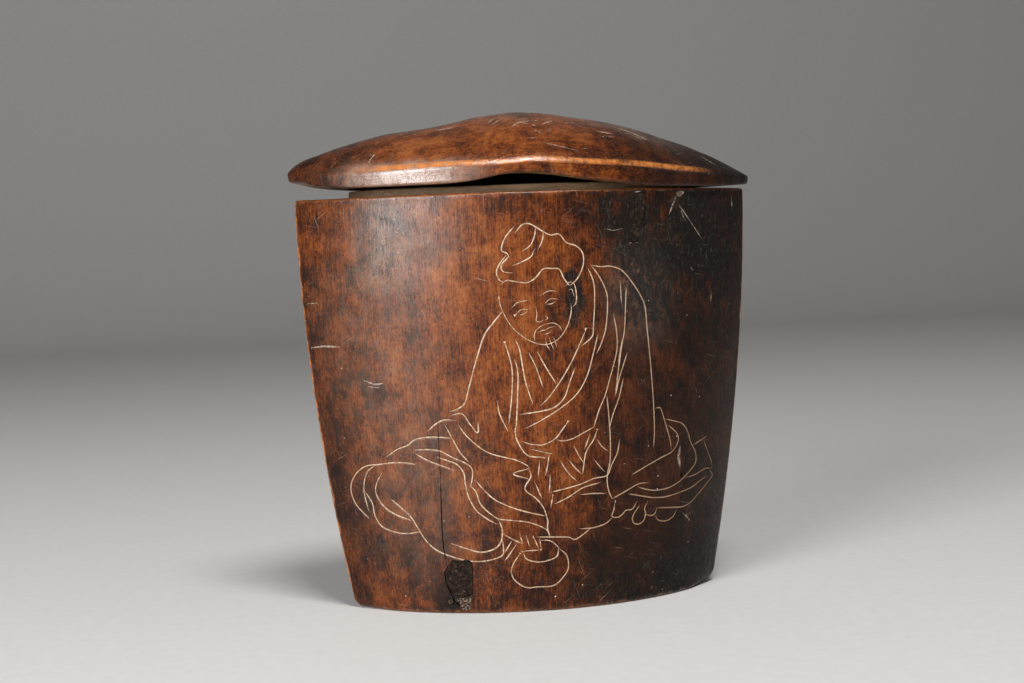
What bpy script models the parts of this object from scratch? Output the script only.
"""Almond-shaped wooden tea caddy with a lift-off carved lid.

The body is two hollowed wooden halves glued along the pointed ends and pegged with bamboo dowels. A base
board is let in from below and pinned, a sleeve stands in the mouth for the lid to slip over, and two old
repairs fill broken spots of the front wall. The lid is one carved shell.

Metres, +Z up. The origin is the centre of the foot, X runs along the almond and the front faces -Y.
"""

import math

import bmesh
import bpy
from mathutils import Vector

# Body, outside. The plan is two arcs that meet in points; it flares from the foot up to the rim.
BODY_HEIGHT = 0.088
RIM_HALF_LENGTH = 0.050
RIM_HALF_DEPTH = 0.0237
FOOT_HALF_LENGTH = 0.0403
FOOT_HALF_DEPTH = 0.01905
FLARE_POWER = 1.81
BODY_LEVELS = 9
ARC_STEPS = 24

# Fits.
GAP = 0.0003
GLUE_GAP = 0.00015
LID_CLEARANCE = 0.0006

# Body, inside. Insets are measured square to the outer face, end_wood along X from the pointed end.
CAVITY_INSET = 0.0052
END_WOOD = 0.0134
END_ROUNDING = 0.005
CAVITY_LEVELS = 5

# Sleeve in the mouth.
COLLAR_SETBACK = 0.0030
COLLAR_THICKNESS = 0.0018
COLLAR_HALF_LENGTH = 0.0383
COLLAR_SEAT = 0.0740
COLLAR_TOP = 0.0895

# Base board.
BOARD_INSET = 0.0028
BOARD_HALF_LENGTH = 0.0300
BOARD_BOTTOM = 0.0006
BOARD_TOP = 0.0056

# Bamboo dowels across the glue joint, as (distance from the middle, height).
DOWEL_RADIUS = 0.0012
DOWEL_LENGTH = 0.0094
UPPER_DOWEL = (0.0426, 0.068)
LOWER_DOWEL = (0.0354, 0.020)

# Bamboo pins through the walls into the edge of the base board.
PIN_RADIUS = 0.0006
PIN_OFFSET = 0.0218
PIN_HEIGHT = 0.0025
PIN_OUTER_END = 0.0142
PIN_INNER_END = 0.0070

# Old repairs of the front wall: outlines in front view, as (x, z).
FILL_DEPTH = 0.0013
FILL_RECESS = 0.0001
FOOT_FILL_OUTLINE = (
    (-0.0209, 0.0114), (-0.0217, 0.0102), (-0.0224, 0.0094), (-0.0225, 0.0076), (-0.0216, 0.0052),
    (-0.0207, 0.0041), (-0.0178, 0.0040), (-0.0173, 0.0060), (-0.0173, 0.0095), (-0.0177, 0.0112),
)
RIM_FILL_OUTLINE = (
    (0.0192, 0.0870), (0.0190, 0.0822), (0.0179, 0.0790), (0.0177, 0.0771), (0.0196, 0.0771),
    (0.0202, 0.0800), (0.0213, 0.0825), (0.0216, 0.0870),
)

# Lid, outside. Its heights above the rim are given at places along X; it sits a little high on the left.
LID_HALF_LENGTH = 0.0512
LID_HALF_DEPTH = 0.0247
LID_STATIONS = 26
DOME_STEPS = 8
DOME_POWER = 2.2
RIDGE = (
    (-0.0512, 0.0053), (-0.0476, 0.0082), (-0.0410, 0.0105), (-0.0315, 0.0133), (-0.0185, 0.0151),
    (-0.0086, 0.0170), (-0.0020, 0.0176), (0.0060, 0.0171), (0.0180, 0.0150), (0.0300, 0.0117),
    (0.0420, 0.0072), (0.0480, 0.0041), (0.0512, 0.0022),
)
SHOULDER = ((-0.0512, 0.0053), (-0.0330, 0.0053), (-0.0100, 0.0058), (0.0, 0.0061), (0.0160, 0.0051),
            (0.0300, 0.0038), (0.0512, 0.0022))
LOWER_EDGE = ((-0.0512, 0.0038), (-0.0450, 0.0027), (-0.0370, 0.0021), (-0.0200, 0.0018),
              (0.0, 0.0012), (0.0220, 0.0006), (0.0350, 0.0004), (0.0512, 0.0006))
THUMB_ARCH_CENTRE = -0.005
THUMB_ARCH_RISE = 0.0025
THUMB_ARCH_LEFT_WIDTH = 0.0068
THUMB_ARCH_RIGHT_WIDTH = 0.0100

# Lid, inside: the hollow's rings as (height above the rim, size of the ring against its mouth).
LID_HOLLOW = ((-0.0020, 1.0), (0.0036, 1.0), (0.0062, 0.90), (0.0078, 0.72), (0.0084, 0.46))

PARTS_NAME = "tea_caddy"
CUTTERS_NAME = "tea_caddy_cutters"


def clear_scene():
    """Remove every object, so that the script can be run again."""
    for item in list(bpy.data.objects):
        bpy.data.objects.remove(item, do_unlink=True)
    for name in (PARTS_NAME, CUTTERS_NAME):
        old = bpy.data.collections.get(name)
        if old:
            bpy.data.collections.remove(old)
        bpy.context.scene.collection.children.link(bpy.data.collections.new(name))


def make_material(name, colour, roughness, metallic=0.0):
    """Principled material with one colour."""
    material = bpy.data.materials.new(name)
    material.use_nodes = True
    shader = material.node_tree.nodes["Principled BSDF"]
    shader.inputs["Base Color"].default_value = (*colour, 1.0)
    shader.inputs["Roughness"].default_value = roughness
    shader.inputs["Metallic"].default_value = metallic
    return material


def add_part(name, mesh, material):
    """Put a finished mesh in the parts' collection."""
    mesh.name = name
    mesh.materials.clear()
    mesh.materials.append(material)
    part = bpy.data.objects.new(name, mesh)
    bpy.data.collections[PARTS_NAME].objects.link(part)
    return part


def add_cutter(name, mesh):
    """Put a mesh in the cutters' collection, out of the render."""
    mesh.name = name
    cutter = bpy.data.objects.new(name, mesh)
    cutter.hide_render = True
    cutter.display_type = "WIRE"
    bpy.data.collections[CUTTERS_NAME].objects.link(cutter)
    return cutter


def boolean(target, cutter, operation="DIFFERENCE"):
    """Cut target with cutter, or keep what they share."""
    modifier = target.modifiers.new(cutter.name, "BOOLEAN")
    modifier.operation = operation
    modifier.object = cutter
    modifier.solver = "EXACT"


def body_half_sizes(height):
    """Half length and half depth of the outer plan at a height."""
    flare = (1.0 - min(height, BODY_HEIGHT) / BODY_HEIGHT) ** FLARE_POWER
    half_length = RIM_HALF_LENGTH - (RIM_HALF_LENGTH - FOOT_HALF_LENGTH) * flare
    half_depth = RIM_HALF_DEPTH - (RIM_HALF_DEPTH - FOOT_HALF_DEPTH) * flare
    return half_length, half_depth


class Almond:
    """Plan made of two equal arcs that meet in points at +X and -X, moved inwards by an inset."""

    def __init__(self, half_length, half_depth, inset=0.0):
        outer_radius = (half_length ** 2 + half_depth ** 2) / (2.0 * half_depth)
        self.centre = outer_radius - half_depth
        self.radius = outer_radius - inset
        self.half_length = math.sqrt(self.radius ** 2 - self.centre ** 2)

    def depth_at(self, x):
        """Half depth at a place along X."""
        return max(math.sqrt(self.radius ** 2 - x ** 2) - self.centre, 0.0)

    def pointed_side(self, steps):
        """Points of the +Y side, from the -X point to the +X point."""
        places = [self.half_length * (2.0 * i / steps - 1.0) for i in range(steps + 1)]
        return [(x, self.depth_at(x)) for x in places]

    def blunt_ring(self, half_length, rounding, steps):
        """Closed outline whose ends stop short of the points and are rounded off."""
        straight = half_length - rounding
        round_steps = 5
        rounds = [straight + rounding * math.sin(0.5 * math.pi * i / round_steps) for i in range(round_steps + 1)]
        middle = [straight * (2.0 * i / steps - 1.0) for i in range(1, steps)]
        places = [-x for x in reversed(rounds)] + middle + rounds
        side = []
        for x in places:
            past = max(abs(x) - straight, 0.0) / rounding
            side.append((x, self.depth_at(x) * math.sqrt(max(1.0 - past ** 2, 0.0))))
        return side[:-1] + [(x, -y) for x, y in reversed(side)][:-1]


def loft(rings):
    """Skin a stack of equal closed rings, the lowest first, and cap both ends."""
    mesh = bpy.data.meshes.new("loft")
    bm = bmesh.new()
    loops = [[bm.verts.new(point) for point in ring] for ring in rings]
    count = len(rings[0])
    for low, high in zip(loops, loops[1:]):
        for i in range(count):
            j = (i + 1) % count
            bm.faces.new((low[i], low[j], high[j], high[i]))
    bm.faces.new(list(reversed(loops[0])))
    bm.faces.new(loops[-1])
    bmesh.ops.remove_doubles(bm, verts=bm.verts, dist=1e-6)
    bmesh.ops.recalc_face_normals(bm, faces=bm.faces)
    bm.to_mesh(mesh)
    bm.free()
    return mesh


def at_height(ring, z):
    """Lift a plan outline to a height."""
    return [(x, y, z) for x, y in ring]


def spread(start, end, count):
    """Evenly spaced values from start to end, both included."""
    return [start + (end - start) * i / (count - 1) for i in range(count)]


def half_body_mesh(side):
    """Solid blank of one half, side +1 or -1 along Y, up to its glue face."""
    rings = []
    for z in spread(0.0, BODY_HEIGHT, BODY_LEVELS):
        edge = Almond(*body_half_sizes(z)).pointed_side(ARC_STEPS)
        rings.append([(x, side * max(y, GLUE_GAP), z) for x, y in edge])
    if side > 0:
        rings = [list(reversed(ring)) for ring in rings]
    return loft(rings)


def whole_body_mesh(inset):
    """Solid with the body's outside moved in by an inset."""
    rings = []
    for z in spread(0.0, BODY_HEIGHT, BODY_LEVELS):
        edge = Almond(*body_half_sizes(z), inset).pointed_side(ARC_STEPS)
        rings.append(at_height([(x, -y) for x, y in edge[:-1]] + list(reversed(edge))[:-1], z))
    return loft(rings)


def cavity_mesh():
    """The tea's room, from inside the base rebate to above the mouth."""
    rings = []
    for z in spread(BOARD_TOP, BODY_HEIGHT + 0.004, CAVITY_LEVELS):
        half_length, half_depth = body_half_sizes(z)
        plan = Almond(half_length, half_depth, CAVITY_INSET)
        rings.append(at_height(plan.blunt_ring(half_length - END_WOOD, END_ROUNDING, ARC_STEPS // 2), z))
    return loft(rings)


def collar_plan(offset):
    """Outline of the sleeve's outer face moved out by an offset."""
    plan = Almond(RIM_HALF_LENGTH, RIM_HALF_DEPTH, COLLAR_SETBACK - offset)
    return plan.blunt_ring(COLLAR_HALF_LENGTH + offset, END_ROUNDING + 0.001 + offset, ARC_STEPS // 2)


def board_plan(offset):
    """Outline of the base board's rebate moved out by an offset."""
    plan = Almond(FOOT_HALF_LENGTH, FOOT_HALF_DEPTH, BOARD_INSET - offset)
    return plan.blunt_ring(BOARD_HALF_LENGTH + offset, END_ROUNDING + offset, ARC_STEPS // 2)


def prism(ring, low, high):
    """Upright solid over a plan outline."""
    return loft([at_height(ring, low), at_height(ring, high)])


def peg(name, radius, start, end, material=None, sides=12):
    """Round rod along Y between two points, as a part or, with no material, as a cutter."""
    bm = bmesh.new()
    length = (end - start).length
    bmesh.ops.create_cone(bm, cap_ends=True, segments=sides, radius1=radius, radius2=radius, depth=length)
    turn = Vector((0.0, 0.0, 1.0)).rotation_difference(end - start).to_matrix().to_4x4()
    bm.transform(turn)
    mesh = bpy.data.meshes.new(name)
    bm.to_mesh(mesh)
    bm.free()
    rod = add_part(name, mesh, material) if material else add_cutter(name, mesh)
    rod.location = (start + end) / 2.0
    if material:
        mesh.shade_smooth()
        mesh.set_sharp_from_angle(angle=math.radians(40.0))
    return rod


def outline_prism(name, outline, grow):
    """Block behind an outline in the front view, pushed out by grow, through the front wall."""
    centre = Vector((sum(x for x, _ in outline), sum(z for _, z in outline))) / len(outline)
    ring_front = []
    ring_back = []
    count = len(outline)
    for i, (x, z) in enumerate(outline):
        before = Vector(outline[i - 1])
        after = Vector(outline[(i + 1) % count])
        along = (after - before).normalized()
        outward = Vector((along.y, -along.x))
        if outward.dot(Vector((x, z)) - centre) < 0.0:
            outward.negate()
        ring_front.append((x + outward.x * grow, -RIM_HALF_DEPTH - 0.002, z + outward.y * grow))
        ring_back.append((x + outward.x * grow, -0.012, z + outward.y * grow))
    return add_cutter(name, loft([ring_front, ring_back]))


def curve_through(points, x):
    """Height at x of a smooth curve through points given as (x, height), by cubic Hermite pieces."""
    last = len(points) - 1
    x = min(max(x, points[0][0]), points[last][0])
    slopes = []
    for i in range(last + 1):
        a = points[max(i - 1, 0)]
        b = points[min(i + 1, last)]
        slopes.append((b[1] - a[1]) / (b[0] - a[0]))
    index = max(i for i in range(last) if points[i][0] <= x)
    (x0, y0), (x1, y1) = points[index], points[index + 1]
    width = x1 - x0
    t = (x - x0) / width
    rise = y0 * (1 + 2 * t) * (1 - t) ** 2 + y1 * t * t * (3 - 2 * t)
    bend = slopes[index] * t * (1 - t) ** 2 - slopes[index + 1] * t * t * (1 - t)
    return rise + width * bend


def thumb_arch(x):
    """Rise of the front lower edge over the thumb's place, a bell with a steeper left side."""
    width = THUMB_ARCH_LEFT_WIDTH if x < THUMB_ARCH_CENTRE else THUMB_ARCH_RIGHT_WIDTH
    return THUMB_ARCH_RISE * math.exp(-0.5 * ((x - THUMB_ARCH_CENTRE) / width) ** 2)


def lid_mesh():
    """Solid lid: a ring round the YZ section at each station, pinched to an upright edge at both points."""
    plan = Almond(LID_HALF_LENGTH, LID_HALF_DEPTH)
    rings = []
    for i in range(LID_STATIONS + 1):
        x = -LID_HALF_LENGTH * math.cos(math.pi * i / LID_STATIONS)
        depth = plan.depth_at(x)
        lower = curve_through(LOWER_EDGE, x)
        front_lower = lower + thumb_arch(x)
        shoulder = curve_through(SHOULDER, x)
        ridge = max(curve_through(RIDGE, x), shoulder)
        ring = [(x, depth, BODY_HEIGHT + lower)]
        for step in range(DOME_STEPS + 1):
            across = math.cos(math.pi * step / DOME_STEPS)
            crown = (ridge - shoulder) * (1.0 - abs(across) ** DOME_POWER)
            ring.append((x, across * depth, BODY_HEIGHT + shoulder + crown))
        ring.append((x, -depth, BODY_HEIGHT + front_lower))
        rings.append(ring)
    return loft(rings)


def lid_hollow_mesh():
    """Room under the lid, the sleeve's outline with clearance at the mouth, domed above."""
    mouth = collar_plan(LID_CLEARANCE)
    rings = []
    for height, scale in LID_HOLLOW:
        rings.append(at_height([(x * scale, y * scale) for x, y in mouth], BODY_HEIGHT + height))
    return loft(rings)


def build_body_cutters():
    """Cutters that both halves share."""
    return [
        add_cutter("cavity_cutter", cavity_mesh()),
        add_cutter("collar_cutter", prism(collar_plan(GAP), COLLAR_SEAT - GAP, BODY_HEIGHT + 0.006)),
        add_cutter("board_cutter", prism(board_plan(0.0), -0.002, BOARD_TOP + GAP)),
    ]


def build_dowels(bamboo):
    """Four pegs across the glue joint, and the cutters for their holes."""
    holes = []
    for level, (offset, z) in (("upper", UPPER_DOWEL), ("lower", LOWER_DOWEL)):
        for side, sign in (("left", -1.0), ("right", 1.0)):
            end = Vector((sign * offset, DOWEL_LENGTH / 2.0, z))
            start = Vector((sign * offset, -DOWEL_LENGTH / 2.0, z))
            peg(f"{level}_{side}_dowel", DOWEL_RADIUS, start, end, bamboo)
            slack = Vector((0.0, GAP, 0.0))
            holes.append(peg(f"{level}_{side}_dowel_hole", DOWEL_RADIUS + GAP, start - slack, end + slack))
    return holes


def build_pins(bamboo):
    """Four pins from the walls' outside into the base board, and the cutters for their holes."""
    holes = {"front": [], "back": []}
    for face, way in (("front", -1.0), ("back", 1.0)):
        for side, sign in (("left", -1.0), ("right", 1.0)):
            outer = Vector((sign * PIN_OFFSET, way * PIN_OUTER_END, PIN_HEIGHT))
            inner = Vector((sign * PIN_OFFSET, way * PIN_INNER_END, PIN_HEIGHT))
            peg(f"{face}_{side}_base_pin", PIN_RADIUS, outer, inner, bamboo, sides=10)
            outside = Vector((sign * PIN_OFFSET, way * RIM_HALF_DEPTH, PIN_HEIGHT))
            bottom = inner - Vector((0.0, way * GAP, 0.0))
            name = f"{face}_{side}_base_pin_hole"
            holes[face].append(peg(name, PIN_RADIUS + GAP, outside, bottom, sides=10))
    return holes


def build_fill(name, outline, material):
    """Repair set in the front wall, flush with its face, and the cutter for its pocket."""
    part = outline_prism(name, outline, 0.0)
    bpy.data.collections[CUTTERS_NAME].objects.unlink(part)
    bpy.data.collections[PARTS_NAME].objects.link(part)
    part.hide_render = False
    part.display_type = "TEXTURED"
    part.data.materials.append(material)
    boolean(part, add_cutter(f"{name}_face", whole_body_mesh(FILL_RECESS)), "INTERSECT")
    boolean(part, add_cutter(f"{name}_floor", whole_body_mesh(FILL_DEPTH)))
    pocket = outline_prism(f"{name}_pocket", outline, GAP)
    boolean(pocket, add_cutter(f"{name}_pocket_floor", whole_body_mesh(FILL_DEPTH + GAP)))
    return pocket


def main():
    """Build the caddy."""
    clear_scene()
    rosewood = make_material("rosewood", (0.28, 0.11, 0.045), 0.38)
    lid_wood = make_material("lid_rosewood", (0.24, 0.095, 0.04), 0.34)
    pale_wood = make_material("unpolished_wood", (0.42, 0.27, 0.13), 0.75)
    bamboo = make_material("bamboo", (0.50, 0.34, 0.16), 0.60)
    putty = make_material("putty", (0.06, 0.055, 0.05), 0.85)

    shared = build_body_cutters()
    dowel_holes = build_dowels(bamboo)
    pin_holes = build_pins(bamboo)
    foot_pocket = build_fill("foot_fill", FOOT_FILL_OUTLINE, putty)
    rim_pocket = build_fill("rim_fill", RIM_FILL_OUTLINE, putty)

    front = add_part("front_wall", half_body_mesh(-1.0), rosewood)
    back = add_part("back_wall", half_body_mesh(1.0), rosewood)
    for cutter in shared + dowel_holes + pin_holes["front"] + [foot_pocket, rim_pocket]:
        boolean(front, cutter)
    for cutter in shared + dowel_holes + pin_holes["back"]:
        boolean(back, cutter)

    collar = add_part("inner_collar", prism(collar_plan(0.0), COLLAR_SEAT, COLLAR_TOP), pale_wood)
    collar_bore = prism(collar_plan(-COLLAR_THICKNESS), COLLAR_SEAT - 0.001, COLLAR_TOP + 0.001)
    boolean(collar, add_cutter("collar_bore", collar_bore))

    board = add_part("base_board", prism(board_plan(-GAP), BOARD_BOTTOM, BOARD_TOP), pale_wood)
    for cutter in pin_holes["front"] + pin_holes["back"]:
        boolean(board, cutter)

    lift_axis = bpy.data.objects.new("lid_lift_axis", None)
    lift_axis.location = (0.0, 0.0, BODY_HEIGHT)
    bpy.data.collections[PARTS_NAME].objects.link(lift_axis)
    lid = add_part("lid_shell", lid_mesh(), lid_wood)
    boolean(lid, add_cutter("lid_hollow_cutter", lid_hollow_mesh()))
    lid.parent = lift_axis
    lid.matrix_parent_inverse = lift_axis.matrix_basis.inverted()


main()
